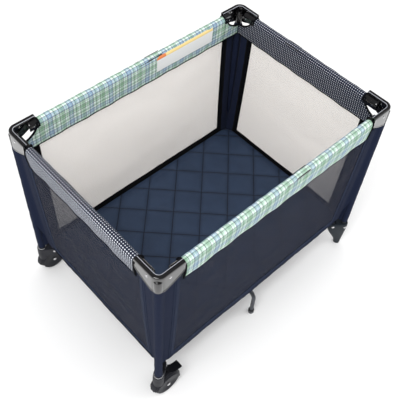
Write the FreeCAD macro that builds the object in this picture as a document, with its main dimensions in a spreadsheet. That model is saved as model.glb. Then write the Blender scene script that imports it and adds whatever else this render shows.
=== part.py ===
# Travel play yard: four legs with corner brackets, four rails that break at a centre latch,
# a floor frame that rises at its hub, fabric walls and a lift-out mattress.
# Millimetres, +Z up, origin on the floor under the hub. +X runs along the long side.
import FreeCAD, Part
import math
import os
from FreeCAD import Placement, Rotation, Vector

doc = FreeCAD.newDocument("PlayYard")
sheet = doc.addObject("Spreadsheet::Sheet", "Sizes")

driving = {
    "legHalfLong": 480.0,  # leg axis from the middle, along the long side
    "legHalfShort": 334.7,
    "foldReach": 80.0,  # foot pivot offset plus hub pivot offset, along the diagonal
    "hubReach": 35.0,
    "railLevel": 744.0,
    "baseLevel": 125.0,
    "legRad": 9.5,
    "railRad": 10.0,
    "baseRad": 8.0,
    "supportRad": 7.5,
    "tubeWall": 1.2,
    "pinRad": 3.0,
    "runGap": 0.08,  # radial clearance of a pin in its hole
    "drill": 2.0,  # how far a cutting tool reaches past what it cuts
    "fitGap": 0.5,  # between flat faces that slide or meet
    "legFoot": 98.0,  # lower end of a leg tube
    "legTop": 745.0,
    "bracketOut": 15.0,  # leg axis to the bracket's outer face
    "bracketWall": 3.0,
    "bracketArm": 82.0,
    "bracketLow": 698.0,
    "bracketTop": 770.0,
    "bracketRound": 28.0,
    "bridgeLow": 762.0,
    "bridgeSpare": 4.0,  # bridge past the rail tube's end
    "rimLow": 766.0,
    "rimWide": 8.0,
    "earLow": 732.0,
    "endSpare": 12.0,  # rail tube past its corner pivot
    "socketRad": 14.0,
    "socketTop": 749.0,
    "rivetReach": 30.0,  # leg axis to the rivet on each arm
    "rivetLevel": 746.0,
    "rivetRad": 2.5,
    "rivetHead": 4.5,
    "rivetHeadThick": 1.5,
    "sleeveRad": 13.0,
    "sleeveLow": 155.0,
    "sleeveTop": 688.0,
    "sleeveWide": 50.0,
    "flapLow": 190.0,
    "flapThick": 2.5,
    "flapOut": 4.0,  # leg axis to a flap's outer face
    "earSpan": 58.0,  # foot ears along the diagonal, from the leg axis
    "earWide": 34.0,
    "earBottom": 100.0,
    "earTop": 138.0,
    "slotWide": 16.8,
    "slotStart": 31.0,
    "slotBottom": 111.0,
    "footTipRad": 13.0,
    "footTopRad": 22.0,
    "footTall": 132.0,
    "flareLow": 20.0,
    "flareThick": 12.0,
    "wheelRad": 45.0,
    "wheelWide": 18.0,
    "wheelShift": 30.0,  # wheel axis from the leg axis, along the long side
    "axleRad": 4.0,
    "pocketRad": 49.0,
    "pocketWide": 21.0,
    "fenderRad": 56.0,
    "fenderWide": 38.0,
    "cheekRad": 36.0,
    "housingSocketRad": 16.0,
    "housingSocketLow": 85.0,
    "housingSocketTall": 65.0,
    "dishDeep": 3.0,
    "tyreThick": 12.0,
    "bossRad": 12.0,
    "latchGap": 38.0,  # rail tube half b's end from the latch pivot
    "latchWide": 24.0,
    "latchStart": 40.0,
    "latchEnd": 98.0,
    "latchDrop": 20.0,
    "latchRise": 11.0,
    "tangWide": 9.0,
    "tangRad": 8.5,
    "tangTall": 15.0,
    "tangTail": 22.0,  # tang inside its tube
    "cheekTall": 9.0,
    "buttonStart": 55.0,
    "buttonLong": 30.0,
    "buttonWide": 12.0,
    "buttonTall": 10.0,
    "buttonHang": 7.0,  # button below the housing at rest
    "buttonTravel": 5.0,
    "pocketGap": 0.3,
    "coverGap": 84.0,
    "coverHalf": 14.0,
    "coverWall": 1.7,
    "coverTop": 758.5,
    "coverLow": 660.0,
    "panelOut": 4.0,
    "panelThick": 3.0,
    "panelLow": 195.0,
    "panelTop": 712.0,
    "panelGap": 52.0,
    "floorLow": 150.0,
    "floorThick": 3.0,
    "floorHalfLong": 468.0,
    "floorHalfShort": 322.0,
    "floorSplit": 1.0,
    "padLow": 154.0,
    "padThick": 32.0,
    "padHalfLong": 461.0,
    "padHalfShort": 315.0,
    "padRound": 45.0,
    "hubRad": 48.0,
    "hubLow": 108.0,
    "hubTop": 142.0,
    "hubCap": 5.0,
    "hubEarLong": 40.0,
    "hubEarPast": 12.0,
    "hubEarWall": 4.0,
    "hubPinHalf": 11.0,
    "tubePast": 10.0,  # floor tube past its pivots' ends
    "supportSide": 18.0,  # support leg from the middle, along the long side
    "supportPivot": 50.0,
    "supportReach": 330.0,
    "supportBend": 30.0,
    "supportTipRad": 11.0,
    "supportTip": 16.0,
    "supportSunk": 4.0,  # post inside its tip
    "strapLong": 120.0,
    "strapWide": 25.0,
    "strapThick": 2.0,
    "pinTuck": 1.0,  # rail pivot's end inside the bracket's face
    "headRad": 6.0,
    "headThick": 2.0,
}
diagonal = math.hypot(driving["legHalfLong"], driving["legHalfShort"])
diagonalAngle = math.degrees(math.atan2(driving["legHalfShort"], driving["legHalfLong"]))
reachCos = driving["legHalfLong"] / diagonal
reachSin = driving["legHalfShort"] / diagonal
derived = {
    "railOffLong": driving["foldReach"] * reachCos,  # corner pivot from the leg axis
    "railOffShort": driving["foldReach"] * reachSin,
    "footReach": driving["foldReach"] - driving["hubReach"],
    "diagSpan": diagonal,
}
for row, (alias, value) in enumerate({**driving, **derived}.items(), start=1):
    sheet.set(f"A{row}", alias)
    sheet.set(f"B{row}", str(value))
    sheet.setAlias(f"B{row}", alias)
doc.recompute()

alongX = Rotation(Vector(0, 1, 0), 90)  # turns a cylinder's own axis onto +X
alongY = Rotation(Vector(1, 0, 0), -90)  # turns it onto +Y
upright = Rotation()
onDiagonal = Rotation(Vector(0, 0, 1), diagonalAngle)


def cells(text):
    """Put the sheet's name before every alias in an expression."""
    words = []
    for word in text.replace("(", "( ").replace(")", " )").split():
        words.append("Sizes." + word if word in driving or word in derived else word)
    return " ".join(words)


def make(kind, name, at=("0", "0", "0"), turn=upright, **sizes):
    thing = doc.addObject(kind, name)
    for size, text in sizes.items():
        thing.setExpression(size, cells(text))
    thing.Placement = Placement(Vector(0, 0, 0), turn)
    for letter, text in zip("xyz", at):
        thing.setExpression(f".Placement.Base.{letter}", cells(text))
    return thing


def box(name, low, size):
    return make("Part::Box", name, low, Length=size[0], Width=size[1], Height=size[2])


def rod(name, at, radius, length, turn=upright):
    return make("Part::Cylinder", name, at, turn, Radius=radius, Height=length)


def fuse(name, *things):
    joined = doc.addObject("Part::MultiFuse", name)
    joined.Shapes = list(things)
    joined.Refine = True
    return joined


def cut(name, base, *tools):
    tool = tools[0] if len(tools) == 1 else fuse(name + "Tool", *tools)
    result = doc.addObject("Part::Cut", name)
    result.Base = base
    result.Tool = tool
    result.Refine = True
    return result


def group(name, *things):
    bundle = doc.addObject("Part::Compound", name)
    bundle.Links = list(things)
    return bundle


def rounded(name, base, radius, wanted):
    """Round the edges whose middles pass a test."""
    doc.recompute()
    result = doc.addObject("Part::Fillet", name)
    result.Base = base
    result.Edges = [
        (number, driving[radius], driving[radius])
        for number, edge in enumerate(base.Shape.Edges, start=1)
        if wanted(edge)
    ]
    return result


def mirrored(name, source, normal):
    copy = doc.addObject("Part::Mirroring", name)
    copy.Source = source
    copy.Normal = normal
    return copy


acrossX = Vector(1, 0, 0)
acrossY = Vector(0, 1, 0)
legX, legY = "- legHalfLong", "- legHalfShort"
subParts = {}


def keep(name, thing):
    thing.Label = name
    subParts[name] = thing
    return thing


def keepFour(name, master):
    """A corner piece and its mirror images, one at each corner."""
    keep(name + "_front_left", master)
    right = keep(name + "_front_right", mirrored(name + "FR", master, acrossX))
    keep(name + "_back_left", mirrored(name + "BL", master, acrossY))
    keep(name + "_back_right", mirrored(name + "BR", right, acrossY))


def standing(edge, x, y):
    """True for a vertical edge at this place."""
    middle = edge.CenterOfMass
    return abs(middle.x - x) < 0.1 and abs(middle.y - y) < 0.1


# Legs

def legTube():
    tall = "legTop - legFoot"
    outer = rod("legOuter", (legX, legY, "legFoot"), "legRad", tall)
    inner = rod("legInner", (legX, legY, "legFoot"), "legRad - tubeWall", tall)
    return cut("legTube", outer, inner)


def shellBlock(name, inset, top):
    """The bracket's square block, its outer corner rounded, set in by a wall or none."""
    low = (f"{legX} - bracketOut + {inset}", f"{legY} - bracketOut + {inset}", "bracketLow")
    side = "bracketOut + bracketArm"
    block = box(name, low, (side, side, f"{top} - bracketLow"))
    doc.recompute()
    corner = block.Placement.Base
    return rounded(name + "Round", block, "bracketRound", lambda e: standing(e, corner.x, corner.y))


def cornerBracket():
    outer = shellBlock("shellOuter", "0", "bracketTop")
    inner = shellBlock("shellInner", "bracketWall", "bracketTop")
    wall = cut("shellWall", outer, inner)
    rimBlock = shellBlock("rimBlock", "0", "bracketTop")
    rimHole = shellBlock("rimHole", "rimWide", "bracketTop")
    rimBelow = box(
        "rimBelow",
        (f"{legX} - 2 * bracketOut", f"{legY} - 2 * bracketOut", "bracketLow"),
        ("2 * bracketArm", "2 * bracketArm", "rimLow - bracketLow"),
    )
    rim = cut("shellRim", rimBlock, rimHole, rimBelow)
    out = "bracketOut"
    deep = "bracketTop - bridgeLow"
    high = "bracketTop - earLow"
    longFrom = "railOffLong - endSpare - bridgeSpare"
    shortFrom = "railOffShort - endSpare - bridgeSpare"
    bridges = [
        box("bridgeLong", (f"{legX} + {longFrom}", f"{legY} - {out}", "bridgeLow"),
            (f"bracketArm - ({longFrom})", "2 * bracketOut", deep)),
        box("bridgeShort", (f"{legX} - {out}", f"{legY} + {shortFrom}", "bridgeLow"),
            ("2 * bracketOut", f"bracketArm - ({shortFrom})", deep)),
        box("earLong", (f"{legX} + {longFrom}", f"{legY} + {out} - bracketWall", "earLow"),
            (f"bracketArm - ({longFrom})", "bracketWall", high)),
        box("earShort", (f"{legX} + {out} - bracketWall", f"{legY} + {shortFrom}", "earLow"),
            ("bracketWall", f"bracketArm - ({shortFrom})", high)),
    ]
    socket = rod("legSocket", (legX, legY, "bracketLow"), "socketRad", "socketTop - bracketLow")
    body = fuse("bracketBody", wall, rim, *bridges, socket)
    outside, span = f"- {out} - drill", "2 * bracketOut + 2 * drill"
    rivetSpan = "bracketWall + 2 * drill"
    holes = [
        rod("holeLong", (f"{legX} + railOffLong", f"{legY} {outside}", "railLevel"),
            "pinRad + runGap", span, alongY),
        rod("holeShort", (f"{legX} {outside}", f"{legY} + railOffShort", "railLevel"),
            "pinRad + runGap", span, alongX),
        rod("holeRivetLong", (f"{legX} + rivetReach", f"{legY} {outside}", "rivetLevel"),
            "rivetRad + runGap", rivetSpan, alongY),
        rod("holeRivetShort", (f"{legX} {outside}", f"{legY} + rivetReach", "rivetLevel"),
            "rivetRad + runGap", rivetSpan, alongX),
        rod("holeLeg", (legX, legY, "bracketLow - drill"), "legRad + runGap",
            "legTop + drill - bracketLow"),
    ]
    return cut("bracket", body, *holes)


def legSleeve():
    tall = "sleeveTop - sleeveLow"
    around = rod("sleeveAround", (legX, legY, "sleeveLow"), "sleeveRad", tall)
    flapTall = "sleeveTop - flapLow"
    flapLong = box("flapLong", (legX, f"{legY} - flapOut", "flapLow"),
                   ("sleeveWide", "flapThick", flapTall))
    flapShort = box("flapShort", (f"{legX} - flapOut", legY, "flapLow"),
                    ("flapThick", "sleeveWide", flapTall))
    bore = rod("sleeveBore", (legX, legY, "sleeveLow"), "legRad + runGap", tall)
    return cut("sleeve", fuse("sleeveBody", around, flapLong, flapShort), bore)


def baseEars(name):
    """Two ears that hold the floor tube's pivot, and the slot between them."""
    ears = box(name + "Ears", ("0", "- earWide / 2", "earBottom"),
               ("earSpan", "earWide", "earTop - earBottom"))
    slot = box(name + "Slot", ("slotStart", "- slotWide / 2", "slotBottom"),
               ("earSpan", "slotWide", "earTop"))
    hole = rod(name + "PinHole", ("footReach", "- earWide", "baseLevel"),
               "pinRad + runGap", "2 * earWide", alongY)
    cheeks = cut(name + "Cheeks", ears, slot, hole)
    cheeks.Placement.Rotation = onDiagonal
    cheeks.setExpression(".Placement.Base.x", cells(legX))
    cheeks.setExpression(".Placement.Base.y", cells(legY))
    return cheeks


def legBore(name):
    return rod(name, (legX, legY, "legFoot"), "legRad + runGap", "earTop")


def plainFoot():
    peg = make("Part::Cone", "footPeg", (legX, legY, "0"), Radius1="footTipRad",
               Radius2="footTopRad", Height="footTall")
    flare = make("Part::Wedge", "footFlare", (legX, legY, "flareLow"),
                 onDiagonal.multiply(Rotation(Vector(1, 0, 0), 90)),
                 Xmin="0", Xmax="flareThick", Ymin="0", Ymax="earBottom - flareLow",
                 Zmin="- footTipRad / 2", Zmax="footTipRad / 2",
                 X2min="0", X2max="earSpan", Z2min="- earWide / 2", Z2max="earWide / 2")
    body = fuse("footBody", peg, flare)
    slot = box("footSlot", ("slotStart", "- slotWide / 2", "slotBottom"),
               ("earSpan", "slotWide", "earTop"))
    turnedSlot = group("footSlotTurned", slot)
    turnedSlot.Placement = Placement(
        Vector(-driving["legHalfLong"], -driving["legHalfShort"], 0), onDiagonal)
    clear = cut("footClear", body, turnedSlot, legBore("footBore"))
    ears = cut("footEars", baseEars("foot"), legBore("footEarBore"))
    return fuse("foot", clear, ears)


def wheelHousing():
    wheelX = f"{legX} + wheelShift"

    def drum(name, radius, wide):
        return rod(name, (wheelX, f"{legY} - ({wide}) / 2", "wheelRad"), radius, wide, alongY)

    under = box("underFender", (f"{wheelX} - 2 * fenderRad", f"{legY} - fenderWide", "- fenderRad"),
                ("4 * fenderRad", "2 * fenderWide", "fenderRad + wheelRad"))
    fender = cut("fender", drum("fenderDrum", "fenderRad", "fenderWide"), under)
    cheeks = drum("housingCheeks", "cheekRad", "fenderWide")
    socket = rod("housingSocket", (legX, legY, "housingSocketLow"), "housingSocketRad",
                 "housingSocketTall")
    body = fuse("housingBody", fender, cheeks, socket)
    hollow = [
        drum("wheelPocket", "pocketRad", "pocketWide"),
        drum("axleHole", "axleRad + runGap", "2 * fenderWide"),
        legBore("housingBore"),
    ]
    slot = box("housingSlot", ("slotStart", "- slotWide / 2", "slotBottom"),
               ("earSpan", "slotWide", "earTop"))
    turnedSlot = group("housingSlotTurned", slot)
    turnedSlot.Placement = Placement(
        Vector(-driving["legHalfLong"], -driving["legHalfShort"], 0), onDiagonal)
    clear = cut("housingClear", body, *hollow, turnedSlot)
    ears = cut("housingEars", baseEars("housing"), legBore("housingEarBore"))
    return fuse("housing", clear, ears)


def headedPin(name, length, radius="pinRad", head="headRad", thick="headThick"):
    """A pin on +Y from the origin, with a flat head past each end."""
    shank = rod(name + "Shank", ("0", "0", "0"), radius, length, alongY)
    nearHead = rod(name + "Near", ("0", f"- {thick}", "0"), head, thick, alongY)
    farHead = rod(name + "Far", ("0", length, "0"), head, thick, alongY)
    return fuse(name, shank, nearHead, farHead)


def place(thing, at, turn=upright):
    thing.Placement = Placement(Vector(*at), turn)
    return thing


def sizeOf(alias):
    return {**driving, **derived}[alias]


def pivotPins(name, withAxle):
    """Rail pivots hidden in the bracket, its two rivets, the floor tube's pivot and the axle."""
    leg = Vector(-sizeOf("legHalfLong"), -sizeOf("legHalfShort"), 0)
    out, tuck = sizeOf("bracketOut"), sizeOf("pinTuck")
    quarter = Rotation(Vector(0, 0, 1), -90)  # +Y onto +X
    arms = (("Long", Vector(1, 0, 0), Vector(0, 1, 0), upright),
            ("Short", Vector(0, 1, 0), Vector(1, 0, 0), quarter))
    pins = []
    for tag, along, inward, turn in arms:
        pivot = leg + along * sizeOf("railOff" + tag) - inward * (out - tuck)
        pivot.z = sizeOf("railLevel")
        shank = rod(name + tag, ("0", "0", "0"), "pinRad", "2 * bracketOut - 2 * pinTuck", alongY)
        pins.append(place(group(name + tag + "Placed", shank), pivot, turn))
        spot = leg + along * sizeOf("rivetReach") - inward * out
        spot.z = sizeOf("rivetLevel")
        rivet = headedPin(name + tag + "Rivet", "bracketWall", "rivetRad", "rivetHead",
                          "rivetHeadThick")
        pins.append(place(rivet, spot, turn))
    across = leg + onDiagonal.multVec(Vector(sizeOf("footReach"), -sizeOf("earWide") / 2, 0))
    across.z = sizeOf("baseLevel")
    pins.append(place(headedPin(name + "Base", "earWide"), across, onDiagonal))
    if withAxle:
        hubEnd = leg + Vector(sizeOf("wheelShift"), -sizeOf("fenderWide") / 2, sizeOf("wheelRad"))
        pins.append(place(headedPin(name + "Axle", "fenderWide", "axleRad"), hubEnd))
    return group(name, *pins)


def wheel():
    x = f"{legX} + wheelShift"
    low = f"{legY} - wheelWide / 2"
    disc = rod("wheelDisc", (x, low, "wheelRad"), "wheelRad", "wheelWide", alongY)
    soft = rounded("wheelSoft", disc, "axleRad", lambda e: e.Closed)
    tools = [rod("wheelBore", (x, low, "wheelRad"), "axleRad + runGap", "wheelWide", alongY)]
    for side, start in (("Out", low), ("In", f"{legY} + wheelWide / 2 - dishDeep")):
        ring = rod("dish" + side, (x, start, "wheelRad"), "wheelRad - tyreThick", "dishDeep", alongY)
        boss = rod("boss" + side, (x, start, "wheelRad"), "bossRad", "dishDeep", alongY)
        tools.append(cut("dishRing" + side, ring, boss))
    return cut("wheelBody", soft, *tools)


# Rails. A rail is built along X at the front, or along Y at the left, from its middle outward.

def railPieces(name, along, half, offset):
    """Tube halves, latch housing, button and cover of one rail. Built on +X, then turned."""
    long = along == "x"
    turn = upright if long else Rotation(Vector(0, 0, 1), 90)
    at = (0, -sizeOf("legHalfShort"), 0) if long else (-sizeOf("legHalfLong"), 0, 0)
    level = "railLevel"
    pivot = f"{half} - {offset}"

    def hollowTube(tag, start, long):
        outer = rod(name + tag + "Outer", (start, "0", level), "railRad", long, alongX)
        inner = rod(name + tag + "Inner", (start, "0", level), "railRad - tubeWall", long, alongX)
        return cut(name + tag + "Tube", outer, inner)

    def pinHole(tag, x, radius):
        return rod(name + tag + "Hole", (x, "- railRad - drill", level), radius,
                   "2 * railRad + 2 * drill", alongY)

    halfA = cut(name + "HalfA",
                hollowTube("A", "latchStart", f"{pivot} + endSpare - latchStart"),
                pinHole("A", pivot, "pinRad + runGap"))
    tang = fuse(
        name + "Tang",
        box(name + "TangBar", ("- latchGap - tangTail", "- tangWide / 2", "railLevel - tangTall / 2"),
            ("latchGap + tangTail", "tangWide", "tangTall")),
        rod(name + "TangEye", ("0", "- tangWide / 2", level), "tangRad", "tangWide", alongY),
    )
    start = f"- ({pivot} + endSpare)"
    tubeB = hollowTube("B", start, f"{pivot} + endSpare - latchGap")
    halfB = cut(name + "HalfB", fuse(name + "HalfBBody", tubeB, tang),
                pinHole("B", f"- ({pivot})", "pinRad + runGap"),
                pinHole("Tang", "0", "axleRad + runGap"))

    block = box(name + "Block", ("latchStart", "- latchWide / 2", "railLevel - latchDrop"),
                ("latchEnd - latchStart", "latchWide", "latchDrop + latchRise"))
    cheekSides = []
    for tag, y in (("Left", "- latchWide / 2"), ("Right", "tangWide / 2 + fitGap")):
        wide = "latchWide / 2 - tangWide / 2 - fitGap"
        cheekSides += [
            box(name + "Cheek" + tag, ("0", y, "railLevel - cheekTall"),
                ("latchStart + drill", wide, "2 * cheekTall")),
            rod(name + "Eye" + tag, ("0", y, level), "cheekTall", wide, alongY),
        ]
    pin = rod(name + "LatchPin", ("0", "- latchWide / 2", level), "axleRad", "latchWide", alongY)
    housing = cut(
        name + "Housing", fuse(name + "HousingBody", block, *cheekSides, pin),
        rod(name + "HousingBore", ("latchStart - fitGap", "0", level), "railRad + runGap",
            "latchEnd", alongX),
        box(name + "ButtonPocket",
            ("buttonStart", "- buttonWide / 2 - pocketGap", "railLevel - latchDrop - drill"),
            ("buttonLong", "buttonWide + 2 * pocketGap", "latchDrop - railRad + drill")),
    )
    button = box(name + "ButtonBlock",
                 ("buttonStart + pocketGap", "- buttonWide / 2", "railLevel - latchDrop - buttonHang"),
                 ("buttonLong - 2 * pocketGap", "buttonWide", "buttonTall"))
    button = rounded(name + "Button", button, "tubeWall", lambda e: e.Length > 2)

    coverLong = f"2 * ({half} - coverGap)"
    skin = box(name + "Skin", (f"- ({half} - coverGap)", "- coverHalf", "coverLow"),
               (coverLong, "2 * coverHalf", "coverTop - coverLow"))
    channel = box(name + "Channel", (f"- {half}", "- coverHalf + coverWall", "coverLow - drill"),
                  (f"2 * {half}", "2 * (coverHalf - coverWall)", "coverTop - coverWall - coverLow + drill"))
    cover = cut(name + "Cover", skin, channel)

    pieces = {}
    for tag, thing in (("tube_a", halfA), ("tube_b", halfB), ("latch_housing", housing),
                       ("latch_button", button), ("cover", cover)):
        pieces[tag] = place(group(name + tag, thing), at, turn)
    return pieces


def sidePanel(name, along, half):
    long = along == "x"
    span = f"2 * ({half} - panelGap)"
    tall = "panelTop - panelLow"
    if long:
        low = (f"- ({half} - panelGap)", f"{legY} - panelOut", "panelLow")
        return box(name, low, (span, "panelThick", tall))
    low = (f"{legX} - panelOut", f"- ({half} - panelGap)", "panelLow")
    return box(name, low, ("panelThick", span, tall))


# Floor frame

def baseTube():
    start, length = "hubReach - baseRad", "diagSpan - foldReach + baseRad + tubePast"
    outer = rod("baseOuter", (start, "0", "baseLevel"), "baseRad", length, alongX)
    inner = rod("baseInner", (start, "0", "baseLevel"), "baseRad - tubeWall", length, alongX)
    holes = [
        rod("baseHole" + tag, (x, "- 2 * baseRad", "baseLevel"), "pinRad + runGap", "4 * baseRad", alongY)
        for tag, x in (("Hub", "hubReach"), ("Foot", "diagSpan - footReach"))
    ]
    tube = cut("baseTube", outer, inner, *holes)
    tube.Placement.Rotation = Rotation(Vector(0, 0, 1), 180 + diagonalAngle)
    return tube


def hubSlots():
    """Cuts for the four floor tubes and the two support legs."""
    tall = "hubTop - hubCap - hubLow + drill"
    slots = []
    for number, angle in enumerate((diagonalAngle, 180 - diagonalAngle,
                                    180 + diagonalAngle, -diagonalAngle)):
        slot = box(f"hubSlot{number}", ("hubReach - baseRad - hubEarWall", "- slotWide / 2", "hubLow - drill"),
                   ("2 * hubRad", "slotWide", tall))
        slots.append(place(group(f"hubSlotTurned{number}", slot), (0, 0, 0),
                           Rotation(Vector(0, 0, 1), angle)))
    front = box("supportSlot", ("- supportSide - slotWide / 2", "- 2 * hubRad", "hubLow - drill"),
                ("slotWide", "2 * hubRad - supportPivot + supportRad + hubEarWall", tall))
    slots.append(front)
    slots.append(place(group("supportSlotBack", front), (0, 0, 0), Rotation(Vector(0, 0, 1), 180)))
    return slots


def hub():
    disc = rod("hubDisc", ("0", "0", "hubLow"), "hubRad", "hubTop - hubLow")
    ear = box("hubEar", ("- supportSide - slotWide / 2 - hubEarWall", "- supportPivot - hubEarPast",
                         "hubLow"),
              ("slotWide + 2 * hubEarWall", "hubEarLong", "hubTop - hubLow"))
    earBack = place(group("hubEarBack", ear), (0, 0, 0), Rotation(Vector(0, 0, 1), 180))
    return cut("hubBody", fuse("hubSolid", disc, ear, earBack), *hubSlots(), *hubPinHoles())


def hubPinAxes():
    """Middle point and turn of each pivot pin of the hub."""
    axes = []
    for angle in (diagonalAngle, 180 - diagonalAngle, 180 + diagonalAngle, -diagonalAngle):
        turn = Rotation(Vector(0, 0, 1), angle)
        axes.append((turn.multVec(Vector(sizeOf("hubReach"), 0, 0)), turn))
    turn = Rotation(Vector(0, 0, 1), -90)
    for side in (-1, 1):
        middle = Vector(side * sizeOf("supportSide"), side * sizeOf("supportPivot"), 0)
        axes.append((middle, turn))
    return axes


def hubRods(tag, radius, reach):
    rods = []
    for number, (middle, turn) in enumerate(hubPinAxes()):
        one = rod(f"{tag}{number}", ("0", f"- ({reach})", "0"), radius, f"2 * ({reach})", alongY)
        at = (middle.x, middle.y, sizeOf("baseLevel"))
        rods.append(place(group(f"{tag}Placed{number}", one), at, turn))
    return rods


def hubPinHoles():
    return hubRods("hubHole", "pinRad + runGap", "hubPinHalf + runGap")


def hubPins():
    return group("hubPinGroup", *hubRods("hubPin", "pinRad", "hubPinHalf"))


def supportLeg():
    x, bendY = "- supportSide", "- supportReach + supportBend"
    inner = "- supportPivot + baseRad"
    arm = rod("supportArm", (x, bendY, "baseLevel"), "supportRad", f"{inner} - ({bendY})", alongY)
    frontThenUp = Rotation(Vector(0, -1, 0), Vector(0, 0, 1), Vector(-1, 0, 0))
    bend = make("Part::Torus", "supportElbow", (x, bendY, "baseLevel - supportBend"), frontThenUp,
                Radius1="supportBend", Radius2="supportRad", Angle3="90")
    post = rod("supportPost", (x, "- supportReach", "supportTip - supportSunk"), "supportRad",
               "baseLevel - supportBend - supportTip + supportSunk")
    tip = rod("supportFoot", (x, "- supportReach", "0"), "supportTipRad", "supportTip")
    hole = rod("supportHole", (f"{x} - 2 * supportRad", "- supportPivot", "baseLevel"),
               "pinRad + runGap", "4 * supportRad", alongX)
    return cut("supportLeg", fuse("supportBody", arm, bend, post, tip), hole)


# Soft parts

def floorPanel():
    return box("floorPanel", ("- floorHalfLong", "- floorHalfShort", "floorLow"),
               ("floorHalfLong - floorSplit", "floorHalfShort - floorSplit", "floorThick"))


def mattress():
    block = box("padBlock", ("- padHalfLong", "- padHalfShort", "padLow"),
                ("2 * padHalfLong", "2 * padHalfShort", "padThick"))
    return rounded("pad", block, "padRound",
                   lambda e: abs(e.Vertexes[0].Point.z - e.Vertexes[1].Point.z) > 1)


def pullStrap():
    return box("strapBand", ("- strapLong / 2", "- strapWide / 2", "hubTop"),
               ("strapLong", "strapWide", "strapThick"))


keepFour("leg_tube", legTube())
keepFour("corner_bracket", cornerBracket())
keepFour("leg_sleeve", legSleeve())
keepFour("base_tube", baseTube())
keepFour("floor_panel", floorPanel())

housing = keep("wheel_housing_front_left", wheelHousing())
keep("wheel_housing_back_left", mirrored("housingBL", housing, acrossY))
frontWheel = keep("wheel_front_left", wheel())
keep("wheel_back_left", mirrored("wheelBL", frontWheel, acrossY))
foot = keep("foot_front_right", mirrored("footFR", plainFoot(), acrossX))
keep("foot_back_right", mirrored("footBR", foot, acrossY))

leftPins = keep("pivot_pins_front_left", pivotPins("leftPins", True))
keep("pivot_pins_back_left", mirrored("leftPinsBL", leftPins, acrossY))
rightPins = keep("pivot_pins_front_right", mirrored("rightPinsFR", pivotPins("rightPins", False), acrossX))
keep("pivot_pins_back_right", mirrored("rightPinsBR", rightPins, acrossY))

rails = (
    ("front", "back", "x", "legHalfLong", "railOffLong", acrossY),
    ("left", "right", "y", "legHalfShort", "railOffShort", acrossX),
)
for near, far, along, half, offset, across in rails:
    for tag, thing in railPieces(near, along, half, offset).items():
        keep(f"rail_{near}_{tag}", thing)
        keep(f"rail_{far}_{tag}", mirrored(far + tag, thing, across))
    panel = keep("side_panel_" + near, sidePanel(near + "Panel", along, half))
    keep("side_panel_" + far, mirrored(far + "Panel", panel, across))

keep("hub", hub())
keep("hub_pins", hubPins())
keep("pull_strap", pullStrap())
frontSupport = keep("support_leg_front", supportLeg())
backSupport = keep("support_leg_back", group("supportBack", frontSupport))
backSupport.Placement = Placement(Vector(0, 0, 0), Rotation(Vector(0, 0, 1), 180))
keep("mattress", mattress())

doc.recompute()
for thing in doc.Objects:
    if {"Invalid", "Error"} & set(thing.State):
        raise RuntimeError(f"{thing.Label} did not build: {thing.State}")
os.makedirs("parts", exist_ok=True)
for name, thing in subParts.items():
    shape = thing.Shape
    if shape.isNull() or not shape.isValid():
        raise RuntimeError(f"{name} has no valid shape")
    shape.exportStep(f"parts/{name}.step")
print(len(subParts), "sub-parts written")
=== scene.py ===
import math

import bpy
import bmesh
from mathutils import Matrix, Vector, noise


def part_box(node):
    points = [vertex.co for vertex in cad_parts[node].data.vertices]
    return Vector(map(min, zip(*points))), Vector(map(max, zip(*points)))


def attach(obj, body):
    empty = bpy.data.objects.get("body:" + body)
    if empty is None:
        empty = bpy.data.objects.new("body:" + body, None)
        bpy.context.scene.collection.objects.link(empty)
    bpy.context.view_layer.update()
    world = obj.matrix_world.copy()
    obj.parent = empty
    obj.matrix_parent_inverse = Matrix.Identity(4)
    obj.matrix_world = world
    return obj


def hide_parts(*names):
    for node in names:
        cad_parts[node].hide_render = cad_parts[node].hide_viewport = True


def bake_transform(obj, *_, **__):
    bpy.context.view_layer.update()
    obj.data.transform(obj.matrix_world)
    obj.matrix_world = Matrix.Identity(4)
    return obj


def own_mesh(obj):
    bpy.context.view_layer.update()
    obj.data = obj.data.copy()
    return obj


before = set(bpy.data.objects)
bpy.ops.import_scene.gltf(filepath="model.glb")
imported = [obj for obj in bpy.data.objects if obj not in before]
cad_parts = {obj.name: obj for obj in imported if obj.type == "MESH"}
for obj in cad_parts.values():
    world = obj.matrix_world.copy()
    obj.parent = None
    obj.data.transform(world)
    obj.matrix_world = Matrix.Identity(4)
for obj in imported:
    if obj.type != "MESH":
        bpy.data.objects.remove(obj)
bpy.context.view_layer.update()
print("frame loaded")


# Places, in metres, taken from the frame

def middleOf(node):
    low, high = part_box(node)
    return (low + high) / 2


legX, legY = (abs(middleOf("leg_tube_front_left")[axis]) for axis in (0, 1))
railLevel = middleOf("rail_front_tube_a").z
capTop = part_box("corner_bracket_front_left")[1].z
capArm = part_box("corner_bracket_front_left")[1].x + legX
capOut = -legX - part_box("corner_bracket_front_left")[0].x
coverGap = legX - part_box("rail_front_cover")[1].x
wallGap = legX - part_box("side_panel_front")[1].x
wheelAt = middleOf("wheel_front_left")
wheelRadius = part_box("wheel_front_left")[1].z - wheelAt.z
footReach = 0.045  # floor tube pivot from the leg axis, along the diagonal
pivotReach = {"x": 0.0656, "y": 0.0457}  # rail pivot from the leg axis
foldShare = 0.3747  # leg spacing when folded, as a share of the open spacing
corners = {"front_left": (-1, -1), "front_right": (1, -1), "back_left": (-1, 1), "back_right": (1, 1)}
sides = {
    "front": {"along": "x", "out": -1, "half": legX, "leg": "front_right", "end": 1},
    "back": {"along": "x", "out": 1, "half": legX, "leg": "back_left", "end": -1},
    "left": {"along": "y", "out": -1, "half": legY, "leg": "front_left", "end": -1},
    "right": {"along": "y", "out": 1, "half": legY, "leg": "back_right", "end": 1},
}
diagonal = Vector((legX, legY, 0)).normalized()


def atCorner(corner, u, v, z):  # u and v run inward from the leg axis
    signX, signY = corners[corner]
    return Vector((signX * (legX - u), signY * (legY - v), z))


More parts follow.
